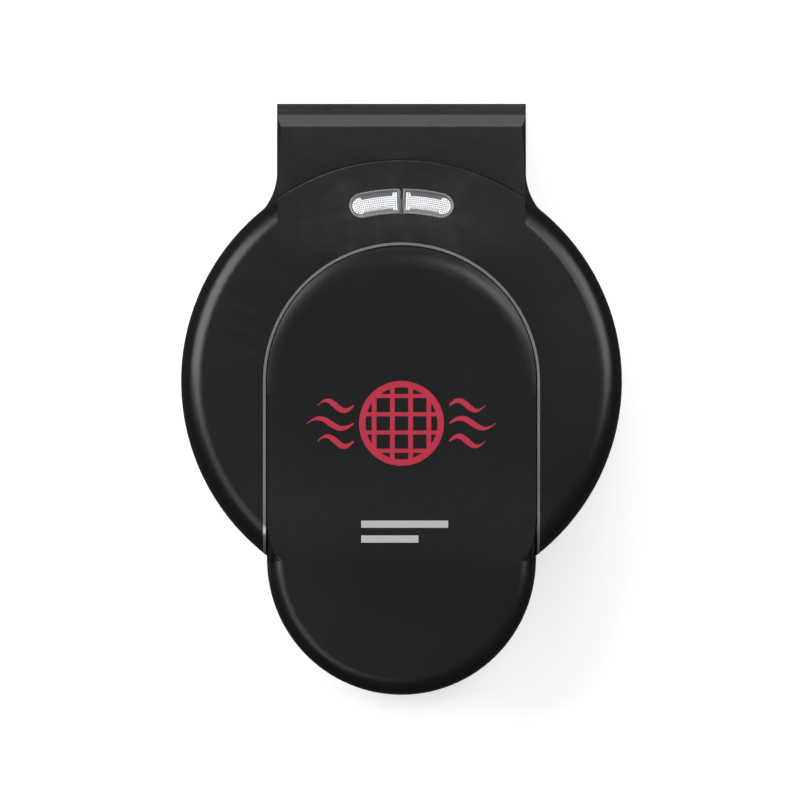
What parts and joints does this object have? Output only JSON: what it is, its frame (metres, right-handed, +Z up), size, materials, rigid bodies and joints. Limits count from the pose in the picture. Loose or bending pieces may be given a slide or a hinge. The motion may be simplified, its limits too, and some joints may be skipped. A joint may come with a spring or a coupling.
{
  "type": "waffle maker",
  "caption": "Round countertop waffle maker with a hinged lid, tongue-shaped handle, curved indicator lens and patterned baking plates inside.",
  "frame": {"origin": "middle of the footprint on the surface the feet stand on", "axes": "+Z up, -Y towards the handle and the user, +Y towards the hinge, +X to the user's right when facing the hinge"},
  "size_m": [0.21, 0.2812, 0.0865],
  "materials": {
    "base_plastic": "satin",
    "lid_plastic": "satin",
    "cover_plastic": "satin",
    "screw_steel": "zinc plated",
    "pin_steel": "polished",
    "foot_rubber": "matt",
    "gland_rubber": "matt",
    "plate_coating": "dark non-stick coating",
    "heating_tube": "heat darkened",
    "ceramic_bead": "matt",
    "shield_sheet": "mill finish",
    "thermostat_body": "stamped",
    "fuse_metal": "plain",
    "terminal_plastic": "natural nylon",
    "clamp_plastic": "natural nylon",
    "earth_brass": "plain",
    "lead_insulation": "silicone",
    "sleeve_fibre": "braided",
    "trim_metal": "polished silver",
    "lens_clear": "prismatic",
    "lamp_white": "white",
    "lamp_red": "neon",
    "lamp_green": "neon"
  },
  "bodies": {
    "base": {"base_shell": "base_plastic", "wiring_cover": "base_plastic", "wiring_cover_screws": "screw_steel", "rubber_feet": "foot_rubber", "lower_plate": "plate_coating", "lower_heating_element": "heating_tube", "lower_element_beads": "ceramic_bead", "lower_heat_shield": "shield_sheet", "lower_plate_screws": "screw_steel", "lower_thermostat": "thermostat_body", "lower_thermostat_screws": "screw_steel", "thermal_fuse": "fuse_metal", "fuse_clip": "screw_steel", "terminal_block": "terminal_plastic", "terminal_block_screw": "screw_steel", "cord_gland": "gland_rubber", "cord_clamp": "clamp_plastic", "cord_clamp_screws": "screw_steel", "earth_screw": "earth_brass", "base_leads": "lead_insulation", "hinge_sleeve_base": "sleeve_fibre"},
    "hinge_pins": {"left_hinge_pin": "pin_steel", "right_hinge_pin": "pin_steel", "hinge_pin_clips": "pin_steel"},
    "lid": {"lid_shell": "lid_plastic", "handle_cover": "cover_plastic", "handle_trim": "trim_metal", "handle_cover_screws": "screw_steel", "indicator_lens": "lens_clear", "lamp_housing": "lamp_white", "lamp_housing_screws": "screw_steel", "power_lamp": "lamp_red", "ready_lamp": "lamp_green", "upper_plate": "plate_coating", "upper_heating_element": "heating_tube", "upper_element_beads": "ceramic_bead", "upper_heat_shield": "shield_sheet", "upper_plate_screws": "screw_steel", "upper_thermostat": "thermostat_body", "upper_thermostat_screws": "screw_steel", "lid_leads": "lead_insulation", "hinge_sleeve_lid": "sleeve_fibre"}
  },
  "joints": [
    {"name": "hinge_float", "type": "slide", "parent": "base", "child": "hinge_pins", "axis": [0, 0, 1], "range_m": [0, 0.004]},
    {"name": "lid_hinge", "type": "hinge", "parent": "hinge_pins", "child": "lid", "pos_m": [0, 0.1256, 0.0569], "axis": [-1, 0, 0], "range_deg": [0, 100]}
  ]
}
